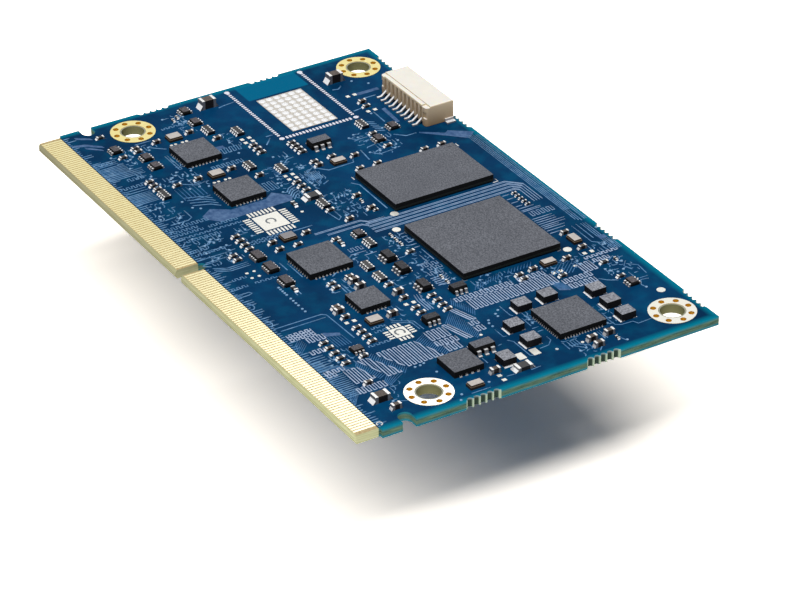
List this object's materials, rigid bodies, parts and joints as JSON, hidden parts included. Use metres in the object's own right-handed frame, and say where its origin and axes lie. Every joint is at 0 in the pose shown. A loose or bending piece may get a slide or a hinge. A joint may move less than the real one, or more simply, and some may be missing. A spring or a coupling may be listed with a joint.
{
  "type": "system on module",
  "caption": "Card-edge computer module: blue board with a gold contact edge, key slot, corner holes, ball-grid and no-lead chips, and a side-entry wire connector.",
  "frame": {"origin": "centre of the board in plan, at the lowest face of the underside capacitors", "axes": "+X along the contact edge, +Y from the contact edge to the back edge, +Z out of the component side"},
  "size_m": [0.082, 0.05, 0.0046],
  "materials": {
    "blue_laminate": "glossy solder mask over glass laminate",
    "gold_plating": "thin gold plating, satin",
    "solder": "bright solder",
    "package_laminate": "dark green laminate",
    "mould_compound": "fine matte grain",
    "tinned_copper": "tin plating, satin",
    "ivory_plastic": "smooth moulded",
    "crystal_ceramic": "matte",
    "crystal_lid": "plated lid, satin",
    "ferrite": "pressed metal powder, grainy",
    "capacitor_ceramic": "fired, smooth",
    "tinned_ends": "tinned, bright",
    "resistor_ceramic": "white, matte",
    "resistor_coat": "dark glaze",
    "bare_pads": "pale plated pads"
  },
  "bodies": {
    "root": {"circuit_board": "blue_laminate", "top_edge_contacts": "gold_plating", "underside_edge_contacts": "gold_plating", "hole_platings": "gold_plating", "processor_balls": "solder", "processor_substrate": "package_laminate", "processor_moulding": "mould_compound", "memory_balls": "solder", "memory_substrate": "package_laminate", "memory_moulding": "mould_compound", "left_interface_chip": "mould_compound", "right_interface_chip": "mould_compound", "bridge_chip": "mould_compound", "controller_chip": "mould_compound", "power_manager": "mould_compound", "power_switch": "mould_compound", "no_lead_terminals": "tinned_copper", "power_manager_terminals": "tinned_copper", "no_lead_solder": "solder", "slim_chips": "mould_compound", "slim_chip_leads": "tinned_copper", "medium_chips": "mould_compound", "medium_chip_leads": "tinned_copper", "large_chips": "mould_compound", "large_chip_leads": "tinned_copper", "protection_arrays": "mould_compound", "protection_array_leads": "tinned_copper", "wire_connector_housing": "ivory_plastic", "wire_connector_contacts": "tinned_copper", "wire_connector_anchors": "tinned_copper", "crystal_bases": "crystal_ceramic", "crystal_lids": "crystal_lid", "inductor_cores": "ferrite", "inductor_terminals": "tinned_copper", "large_capacitors": "capacitor_ceramic", "large_capacitor_ends": "tinned_ends", "medium_capacitors": "capacitor_ceramic", "medium_capacitor_ends": "tinned_ends", "small_capacitors": "capacitor_ceramic", "small_capacitor_ends": "tinned_ends", "resistors": "resistor_ceramic", "resistor_coats": "resistor_coat", "resistor_ends": "tinned_ends", "resistor_networks": "resistor_coat", "resistor_network_ends": "tinned_ends", "chip_part_solder": "solder", "open_quad_pads": "bare_pads", "open_module_pads": "bare_pads", "open_module_ground_pad": "bare_pads", "open_module_bumps": "solder", "open_chip_pads": "bare_pads", "test_pads": "bare_pads", "fiducials": "bare_pads", "underside_capacitors": "capacitor_ceramic", "underside_capacitor_ends": "tinned_ends"}
  },
  "joints": []
}
